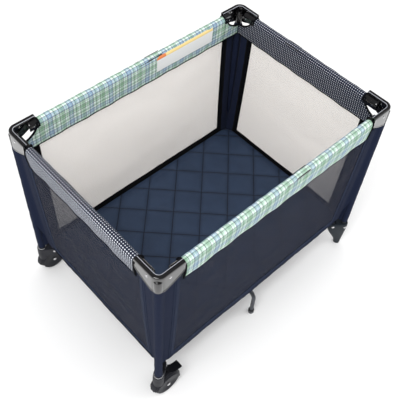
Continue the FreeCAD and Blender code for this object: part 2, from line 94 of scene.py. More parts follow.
def atSide(side, along, inward, z):
    out = sides[side]["out"]
    if sides[side]["along"] == "x":
        return Vector((along, out * (legY - inward), z))
    return Vector((out * (legX - inward), along, z))


def outward(side):
    return atSide(side, 0, -1, 0) - atSide(side, 0, 0, 0)


def endCorner(side, end):  # the corner at one end of a side
    if sides[side]["along"] == "x":
        return side + ("_right" if end > 0 else "_left")
    return ("back_" if end > 0 else "front_") + side


def ease(value, low, high):
    share = min(1.0, max(0.0, (value - low) / (high - low)))
    return share * share * (3 - 2 * share)


def ripple(point, scale, size):
    return noise.noise(Vector(point) / scale) * size


def steps(low, high, count):
    return [low + (high - low) * number / count for number in range(count + 1)]


def arc(middle, radius, start, end, count):
    angles = [math.radians(angle) for angle in steps(start, end, count)]
    return [(middle[0] + radius * math.cos(a), middle[1] + radius * math.sin(a)) for a in angles]


# Shader helpers

class Field:  # a socket's number, colour or vector, with maths on it
    def __init__(self, recipe, socket):
        self.recipe = recipe
        self.socket = socket

    def maths(self, operation, first, second=None):
        inputs = {0: first} if second is None else {0: first, 1: second}
        return self.recipe.add("ShaderNodeMath", {"operation": operation}, inputs)

    def __add__(self, other):
        return self.maths("ADD", self, other)

    __radd__ = __add__

    def __sub__(self, other):
        return self.maths("SUBTRACT", self, other)

    def __rsub__(self, other):
        return self.maths("SUBTRACT", other, self)

    def __mul__(self, other):
        return self.maths("MULTIPLY", self, other)

    __rmul__ = __mul__

    def __truediv__(self, other):
        return self.maths("DIVIDE", self, other)

    def __gt__(self, other):
        return self.maths("GREATER_THAN", self, other)

    def __lt__(self, other):
        return self.maths("LESS_THAN", self, other)

    def fraction(self):
        return self.maths("FRACT", self)

    def size(self):
        return self.maths("ABSOLUTE", self)

    def smaller(self, other):
        return self.maths("MINIMUM", self, other)

    def wave(self, period):
        return self.maths("SINE", self * (2 * math.pi / period))

    def cell(self, period):  # distance from the nearest multiple of the period, in periods
        return ((self / period).fraction() - 0.5).size()

    def between(self, low, high):
        settings = {"interpolation_type": "SMOOTHSTEP"}
        return self.recipe.add("ShaderNodeMapRange", settings, {0: self, 1: low, 2: high})


class Recipe:  # one material's nodes
    def __init__(self, name):
        self.material = bpy.data.materials.new(name)
        self.material.use_nodes = True
        self.tree = self.material.node_tree
        self.tree.nodes.clear()

    def add(self, kind, settings=None, inputs=None, out=0):
        node = self.tree.nodes.new(kind)
        for key, value in (settings or {}).items():
            if key == "stops":
                ramp = node.color_ramp
                while len(ramp.elements) < len(value):
                    ramp.elements.new(1.0)
                for element, (place, tone) in zip(ramp.elements, value):
                    element.position = place
                    element.color = (*tone, 1.0)
            elif key == "blending":
                node.color_ramp.interpolation = value
            else:
                setattr(node, key, value)
        for key, value in (inputs or {}).items():
            if isinstance(value, Field):
                self.tree.links.new(value.socket, node.inputs[key])
            else:
                node.inputs[key].default_value = value
        return Field(self, node.outputs[out]) if node.outputs else node

    def pattern(self):  # cloth coordinates in metres: along the piece, and across it
        flat = self.add("ShaderNodeUVMap", {"uv_map": "pattern"})
        return [self.add("ShaderNodeSeparateXYZ", {}, {0: flat}, axis) for axis in (0, 1)]

    def place(self):
        return self.add("ShaderNodeTexCoord", {}, {}, 3)

    def flat(self):
        return self.add("ShaderNodeUVMap", {"uv_map": "pattern"})

    def cloud(self, scale, detail=2.0, vector=None):
        inputs = {"Scale": scale, "Detail": detail, "Vector": vector or self.place()}
        return self.add("ShaderNodeTexNoise", {}, inputs)

    def mix(self, factor, first, second, blend="MIX"):
        settings = {"data_type": "RGBA", "blend_type": blend}
        return self.add("ShaderNodeMix", settings, {0: factor, 6: tint(first), 7: tint(second)}, 2)

    def ramp(self, factor, stops, blending="LINEAR"):
        return self.add("ShaderNodeValToRGB", {"stops": stops, "blending": blending}, {0: factor})

    def bump(self, height, strength, distance=0.001):
        inputs = {"Height": height, "Strength": strength, "Distance": distance}
        return self.add("ShaderNodeBump", {}, inputs)

    def surface(self, base, rough, extra=None):
        inputs = {"Base Color": tint(base), "Roughness": rough, **(extra or {})}
        return self.add("ShaderNodeBsdfPrincipled", {}, inputs)

    def finish(self, shader):
        self.add("ShaderNodeOutputMaterial", {}, {0: shader})
        return self.material

    def cloth(self, base, rough, height, strength, deep=0.0004, shine=0.15, sheen=0.02):
        normal = self.bump(height, strength, deep)
        return self.finish(self.surface(base, rough, {"Normal": normal, "Specular IOR Level": shine,
                                                      "Sheen Weight": sheen}))


def tint(value):
    return value if isinstance(value, Field) else (*value, 1.0)


def tone(*levels):  # a screen colour, 0 to 255, as light
    return tuple(((level / 255 + 0.055) / 1.055) ** 2.4 for level in levels)


# Materials

def wovenCloth(name, base, thread=0.0011, sheen=0.03):
    recipe = Recipe(name)
    along, across = recipe.pattern()
    weave = along.wave(thread) * across.wave(thread)
    slub = recipe.cloud(9.0, 4.0, recipe.flat())
    fuzz = recipe.cloud(420.0, 2.0, recipe.flat())
    shade = (slub - 0.5) * 0.32 + (fuzz - 0.5) * 0.16 + weave * 0.05
    varied = recipe.mix(0.5 + shade, [c * 0.72 for c in base], [c * 1.28 for c in base])
    rough = 0.85 + (fuzz - 0.5) * 0.1
    return recipe.cloth(varied, rough, weave * 0.5 + fuzz * 0.6, 0.35, shine=0.03, sheen=sheen)


plaidLook = {"along": 0.078, "across": 0.072, "shift": 0.30, "white": tone(233, 242, 240),
             "mint": tone(190, 216, 200), "green": tone(142, 180, 150), "blue": tone(150, 178, 204),
             "navy": tone(30, 50, 86), "pine": tone(30, 68, 58), "lint": tone(150, 165, 160)}


def plaidCloth():  # the same stripes both ways, each thread set over the other
    recipe, look = Recipe("plaid cloth"), plaidLook
    along, across = recipe.pattern()
    stripes = [
        (0.0, "pine"), (0.028, "mint"), (0.10, "green"), (0.22, "mint"), (0.245, "pine"), (0.270, "white"),
        (0.33, "mint"), (0.40, "white"), (0.445, "navy"), (0.473, "blue"), (0.545, "white"), (0.565, "blue"),
        (0.655, "navy"), (0.680, "white"), (0.76, "mint"), (0.80, "pine"), (0.825, "mint"), (0.90, "white"),
    ]
    stops = [(place, look[name]) for place, name in stripes]
    warp = recipe.ramp((along / look["along"]).fraction(), stops, "CONSTANT")
    weft = recipe.ramp((across / look["across"] + look["shift"]).fraction(), stops, "CONSTANT")
    woven = recipe.mix(0.5, warp, weft)
    crossed = recipe.mix(0.55, woven, recipe.mix(1.0, warp, weft, "MULTIPLY"))
    fuzz = recipe.cloud(500.0, 3.0, recipe.flat())
    lint = recipe.ramp(fuzz, [(0.35, look["lint"]), (0.65, look["white"])])
    twill = (along + across).wave(0.0022)
    return recipe.cloth(recipe.mix(0.12, crossed, lint), 0.9, twill * 0.4 + fuzz, 0.3)


# the dots grow on the outer apron: painted light for its lit side
dotLook = {"pitch": 0.0080, "size": 0.03, "litSideDotGrowth": 0.05, "outerFrom": 0.105, "dot": tone(222, 227, 236),
           "dark": tone(22, 26, 42), "light": tone(36, 41, 60)}


def dottedCloth():  # the dots are larger on the outer side: painted light that makes the lit outer apron lighter
    recipe, look = Recipe("pin dot cloth"), dotLook
    along, across = recipe.pattern()
    x, y = along.cell(look["pitch"]), across.cell(look["pitch"])
    # the outer apron gets larger dots: painted light
    outer = across.between(look["outerFrom"], look["outerFrom"] + 0.02)
    dots = 1 - (x * x + y * y - outer * look["litSideDotGrowth"]).between(look["size"], look["size"] + 0.02)
    fuzz = recipe.cloud(600.0, 2.0, recipe.flat())
    spotted = recipe.mix(dots * 0.9, recipe.mix(fuzz, look["dark"], look["light"]), look["dot"])
    return recipe.cloth(spotted, 0.88, dots * 0.5 + fuzz, 0.3)


netPitch = 0.0021


def netCloth(name, thread, opening):  # round holes in staggered rows
    recipe = Recipe(name)
    along, across = recipe.pattern()
    shifted = along + ((across / (2 * netPitch)).fraction() > 0.5) * (netPitch / 2)
    x, y = shifted.cell(netPitch), across.cell(netPitch)
    cover = (x * x + y * y).between(opening, opening + 0.05)
    fuzz = recipe.cloud(300.0, 2.0, recipe.flat())
    base = recipe.mix(fuzz, [c * 0.9 for c in thread], thread)
    extra = {"Alpha": cover, "Specular IOR Level": 0.15, "Normal": recipe.bump(fuzz, 0.2, 0.0003)}
    return recipe.finish(recipe.surface(base, 0.9, extra))


pad = {"halfLong": 0.461, "halfShort": 0.315, "low": 0.154, "top": 0.186, "round": 0.045, "edge": 0.011,
       "pitchA": 0.148, "shiftA": 0.094, "pitchB": 0.147, "shiftB": -0.011, "puff": 0.0075,
       "valley": 0.011, "piping": 0.0024, "foldedLevel": 1.514, "foldedKeep": 0.9}


def quiltCloth():  # fine cloth, tighter along the stitched lines, with painted shade along the stitched lines and in the valleys beside them
    recipe = Recipe("quilted cloth")
    along, across = recipe.pattern()
    first, second = [((way - pad["shift" + name]) / pad["pitch" + name] + 0.5).cell(1.0) * pad["pitch" + name]
                     for way, name in ((across + along, "A"), (across - along, "B"))]
    near = first.smaller(second)
    # a narrow band on each stitched line: painted shade in the colour, and a dip in the bump
    stitched = 1 - near.between(0.0005, 0.0042)
    # a wider band beside each stitched line: painted shade in the valleys between the puffs
    valley = 1 - near.between(0.0, 0.022)
    weave = along.wave(0.0012) * across.wave(0.0012)
    cloud = recipe.cloud(14.0, 5.0, recipe.flat())
    crease = recipe.cloud(34.0, 6.0, recipe.flat())
    base = recipe.mix(cloud, tone(36, 50, 72), tone(50, 66, 92))
    # painted shade: the valleys darkened towards a deeper navy, the stitched lines towards near black
    base = recipe.mix(valley * 0.35, base, tone(26, 37, 56))
    base = recipe.mix(stitched * 0.85, base, tone(12, 18, 30))
    rough = 0.6 + (cloud - 0.5) * 0.2
    return recipe.cloth(base, rough, crease + weave * 0.05 - stitched * 0.6, 0.5, 0.004, 0.25, 0.04)


def mouldedPlastic(name, base, rough, gloss=0.0, grain=0.25, shine=0.5):
    recipe = Recipe(name)
    fine = recipe.cloud(900.0, 3.0)
    wide = recipe.cloud(18.0, 4.0)
    wear = (wide - 0.5) * 0.18
    varied = recipe.mix(0.5 + wear * 2, [c * 0.85 for c in base], [c * 1.15 + 0.004 for c in base])
    extra = {"Normal": recipe.bump(fine, grain, 0.0003), "Coat Weight": gloss,
             "Coat Roughness": 0.06, "Specular IOR Level": shine}
    return recipe.finish(recipe.surface(varied, rough + wear, extra))


def brushedMetal(name, base, rough):
    recipe = Recipe(name)
    stretch = recipe.add("ShaderNodeMapping", {}, {"Vector": recipe.place(), "Scale": (1, 1, 0.08)})
    lines = recipe.cloud(720.0, 3.0, stretch)
    wide = recipe.cloud(30.0, 3.0)
    varied = recipe.mix(lines * 0.5 + wide * 0.5, [c * 0.8 for c in base], base)
    extra = {"Metallic": 1.0, "Normal": recipe.bump(lines, 0.08, 0.0002)}
    return recipe.finish(recipe.surface(varied, rough + (wide - 0.5) * 0.15, extra))


def labelCloth():
    recipe = Recipe("blank label")
    along, across = recipe.pattern()
    fuzz = recipe.cloud(700.0, 2.0, recipe.flat())
    strip = across.between(0.0505, 0.0512)
    tab = (along < 0.04) * strip
    base = recipe.mix(strip, tone(238, 240, 240), tone(242, 214, 140))
    base = recipe.mix(tab, base, tone(222, 122, 52))
    extra = {"Normal": recipe.bump(fuzz, 0.2, 0.0003), "Specular IOR Level": 0.25}
    return recipe.finish(recipe.surface(recipe.mix(0.1, base, fuzz), 0.7, extra))


looks = {
    "plaid": plaidCloth(),
    "dots": dottedCloth(),
    "wall": wovenCloth("outer wall cloth", tone(37, 45, 65)),
    "wallInside": wovenCloth("inner wall cloth", tone(10, 11, 15), sheen=0.02),
    "sleeve": wovenCloth("corner sleeve cloth", tone(29, 36, 57)),
    "piping": wovenCloth("edge binding", tone(14, 15, 19), 0.0008, 0.02),
    "webbing": wovenCloth("woven webbing", tone(17, 18, 22), 0.0026, 0.02),
    "floor": wovenCloth("floor cloth", tone(20, 23, 34)),
    "netInside": netCloth("net, cream side", tone(250, 243, 236), 0.08),
    "netOutside": netCloth("net, navy side", tone(22, 30, 52), 0.07),
    "quilt": quiltCloth(),
    "cap": mouldedPlastic("glossy corner plastic", tone(9, 8, 11), 0.14, gloss=0.8, grain=0.03),
    # light grey bead round each bracket's rim: a painted highlight, in place of the rim's reflection of the
    # studio lights
    "lip": mouldedPlastic("painted highlight bead", tone(168, 170, 178), 0.2, grain=0.03),
    "grey": mouldedPlastic("grey wheel plastic", tone(36, 37, 43), 0.5, shine=0.2),
    "foot": mouldedPlastic("slate foot plastic", tone(28, 36, 44), 0.5, shine=0.2),
    "rubber": mouldedPlastic("dark tyre", tone(38, 38, 40), 0.6, grain=0.5),
    "latch": mouldedPlastic("dark latch plastic", tone(34, 34, 38), 0.45),
    "button": mouldedPlastic("red button plastic", tone(150, 36, 34), 0.35, gloss=0.4),
    "rivet": brushedMetal("bright rivet", tone(228, 228, 230), 0.22),
    "tube": brushedMetal("coated tube", tone(92, 94, 100), 0.42),
    "leg": mouldedPlastic("black tube coat", tone(40, 41, 45), 0.38, gloss=0.3),
    "label": labelCloth(),
}
print("materials made")


# Mesh helpers

def around(count):  # angles of a full turn
    return [2 * math.pi * number / count for number in range(count)]


def doubled(first, second):  # rings round the edge of two layers
    return [a + b[::-1] for a, b in zip(first, second)]


class Shape:  # points, faces, cloth coordinates and finish numbers of one piece
    def __init__(self):
        self.points, self.faces, self.coordinates, self.finishes = [], [], [], []

    def net(self, grid, pattern=None, closed=False, finish=0, keep=None):
        first, rows, columns = len(self.points), len(grid), len(grid[0])
        self.points += [tuple(point) for row in grid for point in row]
        for i in range(rows - 1):
            for j in range(columns if closed else columns - 1):
                if keep and not keep(i, j):
                    continue
                quad = [(i, j), (i, j + 1), (i + 1, j + 1), (i + 1, j)]
                self.faces.append([first + a * columns + b % columns for a, b in quad])
                self.coordinates.append([pattern(a, b) if pattern else (0.0, 0.0) for a, b in quad])
                self.finishes.append(finish)
        return first, rows, columns

    def solid(self, grid, pattern=None, finish=0):  # a tube of rings with both ends closed
        first, rows, columns = self.net(grid, pattern, True, finish)
        for row in (0, rows - 1):
            self.faces.append([first + row * columns + j for j in range(columns)])
            self.coordinates.append([pattern(row, j) if pattern else (0.0, 0.0) for j in range(columns)])
            self.finishes.append(finish)

    def turned(self, base, axis, profile, count=28, finish=0):  # radius and height pairs, about an axis
        axis = Vector(axis).normalized()
        side = axis.orthogonal().normalized()
        other = axis.cross(side)
        ways = [side * math.cos(a) + other * math.sin(a) for a in around(count)]
        grid = [[Vector(base) + axis * height + way * max(radius, 0.00002) for way in ways]
                for radius, height in profile]
        self.solid(grid, lambda i, j: (profile[i][1], j * 0.002), finish)

    def tube(self, path, radius, count=8, finish=0, wide=1.0, side=None):  # round or flattened
        path = [Vector(point) for point in path]
        grid, length, lengths = [], 0.0, []
        for number, point in enumerate(path):
            before, after = path[max(0, number - 1)], path[min(len(path) - 1, number + 1)]
            run = (after - before).normalized()
            across = (side or Vector((0, 0, 1))).cross(run)
            across = (across if across.length > 0.05 else run.orthogonal()).normalized()
            up = run.cross(across)
            grid.append([point + across * math.cos(a) * radius * wide + up * math.sin(a) * radius
                         for a in around(count)])
            length += (point - before).length
            lengths.append(length)
        self.solid(grid, lambda i, j: (lengths[i], j * 0.001), finish)


def piece(name, shape, materials, slotName, replaced=(), angle=42):
    mesh = bpy.data.meshes.new(name)
    mesh.from_pydata(shape.points, [], shape.faces)
    layer = mesh.uv_layers.new(name="pattern")
    flat = [value for face in shape.coordinates for pair in face for value in pair]
    layer.data.foreach_set("uv", flat)
    mesh.polygons.foreach_set("material_index", shape.finishes)
    for material in materials:
        mesh.materials.append(looks[material])
    work = bmesh.new()
    work.from_mesh(mesh)
    bmesh.ops.remove_doubles(work, verts=work.verts, dist=0.00001)
    loose = [vertex for vertex in work.verts if not vertex.link_faces]
    bmesh.ops.delete(work, geom=loose, context="VERTS")
    bmesh.ops.recalc_face_normals(work, faces=work.faces)
    work.to_mesh(mesh)
    work.free()
    mesh.shade_smooth()
    mesh.set_sharp_from_angle(angle=math.radians(angle))
    item = bpy.data.objects.new(name, mesh)
    bpy.context.scene.collection.objects.link(item)
    if replaced:
        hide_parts(*replaced)
    return item


def applied(item):
    graph = bpy.context.evaluated_depsgraph_get()
    mesh = bpy.data.meshes.new_from_object(item.evaluated_get(graph))
    item.modifiers.clear()
    item.data = mesh
    return item


def faceOut(item, direction):  # turns a sheet so that its first side faces a direction
    total = sum((face.normal * face.area for face in item.data.polygons), Vector())
    if total.dot(direction) < 0:
        item.data.flip_normals()
    return item


def thickened(item, thick, inside=0):  # the new skin lies inward and takes its own finish
    skin = item.modifiers.new("skin", "SOLIDIFY")
    skin.thickness = thick
    skin.offset = -1
    skin.material_offset = inside
    skin.material_offset_rim = inside
    return applied(item)


def softened(item, width, angle=35):
    edge = item.modifiers.new("edge", "BEVEL")
    edge.width = width
    edge.segments = 2
    edge.limit_method = "ANGLE"
    edge.angle_limit = math.radians(angle)
    edge.harden_normals = False
    return applied(item)


# Corner brackets: a curved shell with a broad rim, two pockets for the rail ends and a leg socket

# the lip keys give the size and place of the light bead that paints a highlight along each rim
cap = {"wall": 0.0026, "round": 0.028, "step": 0.0009, "low": 0.697, "rise": 0.033, "bend": 1.3,
       "lip": 0.0010, "highlightBeadIn": 0.0122, "highlightBeadDrop": 0.0013, "pocketBack": 0.016, "pocketRise": 0.0152,
       "pocketSkin": 0.0022, "pocketRound": 0.009, "earLow": 0.733, "socket": 0.014, "socketLow": 0.7}


def capLow(reach):
    climb = max(0.0, (reach - 0.010) / 0.070) ** cap["bend"] * cap["rise"]
    return cap["low"] + climb + 0.006 * max(0.0, (reach - 0.075) / 0.007) ** 2


def capOutline():  # plan point of the outer face, inward direction, and reach along the arm
    middle = cap["round"] - capOut
    outline = [(u, -capOut, 0, 1, u) for u in steps(capArm, middle, 16)]
    for angle in steps(0, math.pi / 2, 12)[1:-1]:
        s, c = math.sin(angle), math.cos(angle)
        outline.append((middle - cap["round"] * s, middle - cap["round"] * c, s, c, middle))
    return outline + [(-capOut, v, 1, 0, v) for v in steps(middle, capArm, 16)]


def capSection(reach):
    low, top, wall = capLow(reach), capTop, cap["wall"]
    step = cap["step"] * ease(capArm - reach, 0.002, 0.004)
    return [
        (0, low), (0, low + 0.003), (step, low + 0.0042), (step, top - 0.012), (0, top - 0.0105),
        (0, top - 0.005), (0.0004, top - 0.003), (0.0016, top - 0.0012), (0.0035, top - 0.0003),
        (0.0055, top), (0.0095, top), (0.0115, top - 0.0007), (0.0128, top - 0.002),
        (0.0132, top - 0.004), (0.0132, top - 0.010), (0.0106, top - 0.010), (0.0106, top - 0.0045),
        (0.0095, top - 0.0030), (0.0055, top - 0.0028), (0.0034, top - 0.0045), (wall, top - 0.012),
        (wall, low + 0.003), (wall, low),
    ]


def railPocket(shape, corner, along):  # a roof over the rail's end, running down into an inner ear
    start, bend = pivotReach[along] - cap["pocketBack"], cap["pocketRound"]
    grid = []
    reaches = [start + x for x in (0, 0.0008, 0.0024, 0.005, bend)]
    for reach in reaches + steps(start + 0.016, capArm - 0.0005, 6):
        swell = math.sqrt(max(0.0, 1 - max(0.0, 1 - (reach - start) / bend) ** 2))
        layers = []
        for skin in (0, cap["pocketSkin"]):
            high, ear = (cap["pocketRise"] - skin) * (0.55 + 0.45 * swell), capOut - 0.0004 - skin
            roof = [(math.radians(angle), ear if angle > 0 else capOut - 0.0035)
                    for angle in steps(-35, 90, 14)]
            layers.append([(wide * math.sin(a), railLevel + high * math.cos(a)) for a, wide in roof]
                          + [(ear, cap["earLow"])])
        section = layers[0] + layers[1][::-1]
        grid.append([atCorner(corner, *((reach, n, z) if along == "x" else (n, reach, z)))
                     for n, z in section])
    shape.solid(grid)


def cornerCap(corner):
    shape = Shape()
    grid, lip = [], []
    for u, v, inU, inV, reach in capOutline():
        grid.append([atCorner(corner, u + inU * n, v + inV * n, z) for n, z in capSection(reach)])
        lip.append(atCorner(corner, u + inU * cap["highlightBeadIn"], v + inV * cap["highlightBeadIn"], capTop - cap["highlightBeadDrop"]))
    shape.solid(grid)
    # the light grey bead round the rim's inner top edge is a painted highlight
    shape.tube(lip, cap["lip"], 8, 1)
    for along in pivotReach:
        railPocket(shape, corner, along)
    shape.turned(atCorner(corner, 0, 0, cap["socketLow"]), (0, 0, 1),
                 [(cap["socket"], 0), (cap["socket"], 0.045), (0.0132, 0.0475), (0.011, 0.049), (0, 0.049)])
    item = piece("corner_cap_" + corner, shape, ["cap", "lip"], "bracket_plastic",
                 ["corner_bracket_" + corner], 30)
    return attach(item, "leg_" + corner)


# Pins and domed rivets

pin = {"rivetReach": 0.030, "rivetLevel": 0.746, "rivetShank": 0.0025, "rivetHead": 0.0045, "shank": 0.003,
       "baseWide": 0.034, "baseLevel": 0.125, "baseHead": 0.0058, "axleWide": 0.038, "axleShank": 0.004,
       "axleHead": 0.0065, "footLevel": 0.118, "footWide": 0.0364, "footHead": 0.0052}


def dome(radius, tall):
    return [(radius, 0)] + [(radius * math.cos(a), tall * math.sin(a)) for a in steps(0, math.pi / 2, 5)][1:]


def domedPin(shape, middle, run, wide, radius, head, tall=0.0022):
    back = [(r, -h) for r, h in reversed(dome(head, tall))]
    front = [(r, wide + h) for r, h in dome(head, tall)]
    shape.turned(middle - run * wide / 2, run, back + [(radius, 0.0003), (radius, wide - 0.0003)] + front, 20)


def inwardOf(corner):  # along the diagonal, from the leg to the hub
    signX, signY = corners[corner]
    return Vector((-signX * diagonal.x, -signY * diagonal.y, 0))


def pivotPins(corner):
    shape = Shape()
    for along, reach in pivotReach.items():
        def spot(far, n, z):
            return atCorner(corner, far, n, z) if along == "x" else atCorner(corner, n, far, z)
        run = spot(0, 1, 0) - spot(0, 0, 0)
        depth = (cap["step"] + cap["wall"]) / 2 - capOut
        domedPin(shape, spot(pin["rivetReach"], depth, pin["rivetLevel"]), run, cap["wall"] - cap["step"],
                 pin["rivetShank"], pin["rivetHead"])
        deep = 2 * capOut - 0.0014
        profile = [(pin["shank"], 0), (pin["shank"], deep - 0.0016), (0.0024, deep - 0.0002), (0, deep)]
        shape.turned(spot(reach, -capOut + 0.002, railLevel), run, profile, 16)
    inward = inwardOf(corner)
    domedPin(shape, atCorner(corner, 0, 0, pin["baseLevel"]) + inward * footReach,
             Vector((-inward.y, inward.x, 0)), pin["baseWide"], pin["shank"], pin["baseHead"])
    signX, signY = corners[corner]
    if corner.endswith("left"):
        domedPin(shape, Vector((wheelAt.x, signY * legY, wheelAt.z)), Vector((0, 1, 0)), pin["axleWide"],
                 pin["axleShank"], pin["axleHead"], 0.003)
    else:
        face = Vector((-signX * 0.35, signY * 0.94, 0)).normalized()
        domedPin(shape, atCorner(corner, 0, 0, pin["footLevel"]), face, pin["footWide"], pin["shank"],
                 pin["footHead"])
    item = piece("rivets_" + corner, shape, ["rivet"], "rivet_steel", ["pivot_pins_" + corner], 50)
    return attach(item, "leg_" + corner)


# Rail covers: padded cloth over the tube, with an inner and an outer apron and bound edges

cover = {"innerLow": 0.660, "outerLow": 0.677, "round": 0.014, "cloth": 0.0018, "innerFoot": 0.0095,
         "outerFoot": 0.0080, "shoulder": 0.738, "binding": 0.0021, "endBinding": 0.0034,
         "wrinkle": 0.0013, "bend": 0.035}


def apronInward(z):  # inner apron's distance in from the leg axis line
    spread = ease(z, cover["innerLow"] - 0.02, cover["shoulder"])
    return cover["innerFoot"] + (cover["round"] - cover["innerFoot"]) * spread


def coverSection():  # inner apron, over the tube, and outer apron
    inner = [(apronInward(z), z) for z in steps(cover["innerLow"], cover["shoulder"], 9)]
    outer = []
    for z in steps(cover["shoulder"], cover["outerLow"], 8):
        spread = ease(z, cover["outerLow"] - 0.02, cover["shoulder"])
        outer.append((-(cover["outerFoot"] + (cover["round"] - cover["outerFoot"]) * spread), z))
    return inner + arc((0, railLevel + 0.0005), cover["round"], 0, 180, 12) + outer


def sectionLengths(section):
    total, lengths = 0.0, [0.0]
    for (a, b), (c, d) in zip(section, section[1:]):
        total += math.hypot(c - a, d - b)
        lengths.append(total)
    return lengths


def coverPoint(side, s, n, z, deep):  # wrinkled, and gathered towards the ends
    half = sides[side]["half"]
    away = Vector((n, max(-0.2, min(0.2, (z - 0.735)) * (z > 0.735)))).normalized()
    gather = 1 - ease(half - coverGap - abs(s), 0.0, 0.06)
    wave = ripple((s + half * 7, n * 2, z), 0.028, cover["wrinkle"])
    wave += ripple((s, z * 3 + half, n), 0.010, cover["wrinkle"] * (0.2 + gather * 0.5))
    wave += math.sin(s * 63 + half * 20) * 0.0009 * (1 - ease(z, 0.68, 0.75)) - deep
    low = ripple((s, half, 3.0), 0.07, 0.0016) * (1 - ease(z, 0.66, 0.70))
    return atSide(side, s, n + away.x * wave, z + away.y * wave + low)


def coverCloth(side):  # finish names and slot of the side's pattern
    return (["plaid", "piping"], "plaid_fabric") if sides[side]["along"] == "x" else (
        ["dots", "piping"], "dotted_fabric")


def railCover(side):
    end = sides[side]["half"] - coverGap
    section = coverSection()
    lengths, columns, count = sectionLengths(section), len(section), round(2 * end / 0.009)
    skin, lining = [[[coverPoint(side, s, n, z, deep) for n, z in section] for s in steps(-end, end, count)]
                    for deep in (0.0, cover["cloth"])]
    stations = steps(0, 2 * end, count)

    def pattern(i, j):
        place = j if j < columns else 2 * columns - 1 - j
        return stations[i] + coverGap, lengths[max(0, min(columns - 1, place))]

    shape = Shape()
    shape.solid(doubled(skin, lining), pattern)
    for row in (0, count):
        shape.tube(skin[row][9:], cover["endBinding"], 8, 1, 1.0, outward(side))
    for column, radius in ((0, cover["binding"]), (columns - 1, cover["binding"] * 0.7)):
        shape.tube([row[column] for row in skin], radius, 8, 1)
    item = piece(f"rail_{side}_cushion", shape, *coverCloth(side), [f"rail_{side}_cover"], 60)
    bend = cover["bend"]
    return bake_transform(item, f"rail_{side}_b", f"rail_{side}_a",
                    start=atSide(side, -bend, 0, railLevel), end=atSide(side, bend, 0, railLevel))


# Gussets: the inner apron runs on past the rail's end to the corner, cut on a bound arc

gusset = {"from": 0.0135, "to": 0.0825, "arcEnd": 0.0765, "low": 0.699, "rise": 0.055, "power": 1.6,
          "binding": 0.0034, "cut": 0.0052, "keep": 0.45}


def gussetTop(reach):
    share = max(0.0, min(1.0, (reach - gusset["from"]) / (gusset["arcEnd"] - gusset["from"])))
    return gusset["low"] + gusset["rise"] * (1 - math.sqrt(1 - share ** gusset["power"]))


def gussetPiece(side, end):
    half, long = sides[side]["half"], sides[side]["along"] == "x"
    reaches = steps(gusset["from"], gusset["to"], 26)
    skin, lining, edge = [], [], []
    for reach in reaches:
        s, top = end * (half - reach), gussetTop(reach)
        levels = [cover["innerLow"] + (top - cover["innerLow"]) * share for share in steps(0, 1, 8)]
        row = [(apronInward(z) + ripple((s, z, 5.0), 0.03, 0.0014), z) for z in levels]
        skin.append([atSide(side, s, n, z) for n, z in row])
        lining.append([atSide(side, s, n - cover["cloth"], z) for n, z in row])
        edge.append(atSide(side, s, apronInward(top) - 0.0009, top))

    def pattern(i, j):
        across = (gussetTop(reaches[i]) - cover["innerLow"]) * max(0, j if j < 9 else 17 - j) / 8
        return half + end * (half - reaches[i]), across

    shape = Shape()
    shape.solid(doubled(skin, lining), pattern)
    shape.tube(edge, gusset["binding"], 8, 1, 1.0, outward(side))
    shape.tube([row[0] for row in skin], cover["binding"], 8, 1)
    corner = endCorner(side, end)
    item = piece(f"gusset_{side}_at_{corner}", shape, *coverCloth(side), (), 60)
    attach(item, "leg_" + corner)
    axis, anchor = ((1, 0, 0) if long else (0, 1, 0)), tuple(atSide(side, end * half, 0, railLevel))
    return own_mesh(item)


# Walls: a cloth frame round a net window, the hem drawn in under the floor

wall = {"hem": 0.160, "top": 0.700, "sill": 0.196, "lintel": 0.690, "window": 0.077, "cloth": 0.002,
        "inset": {"x": 0.018, "y": 0.023}, "face": -0.003, "seams": (0.003, 0.011), "netLap": 0.002,
        "nets": {"outer": ("netOutside", 0.00095), "inner": ("netInside", 0.00105)}}


def wallInward(side, z):
    drawn = max(0.0, (wall["top"] - z) / (wall["top"] - wall["hem"])) ** 1.5
    return wall["face"] + wall["inset"][sides[side]["along"]] * drawn


def wallWave(side, s, z):
    half = sides[side]["half"]
    slack = ease(half - abs(s), 0.05, 0.16)
    wave = ripple((s * 0.6, z * 1.6, half * 9), 0.11, 0.0028) * slack
    wave += ripple((s * 1.5 + z, z, half * 5), 0.045, 0.0010)
    return wave + ripple((s * 2.5, z * 0.4, half), 0.03, 0.0012) * (1 - ease(z, 0.16, 0.23))


def onWall(side, s, z, deep=0.0):
    return atSide(side, s, wallInward(side, z) + wallWave(side, s, z) + deep, z)


def foldWith(item, side):  # the piece rides on the leg at one end of its side
    half, long = sides[side]["half"], sides[side]["along"] == "x"
    keep = (half * foldShare - wallGap) / (half - wallGap)
    anchor = atSide(side, sides[side]["end"] * (half - wallGap), 0, railLevel)
    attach(item, "leg_" + sides[side]["leg"])
    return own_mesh(item)


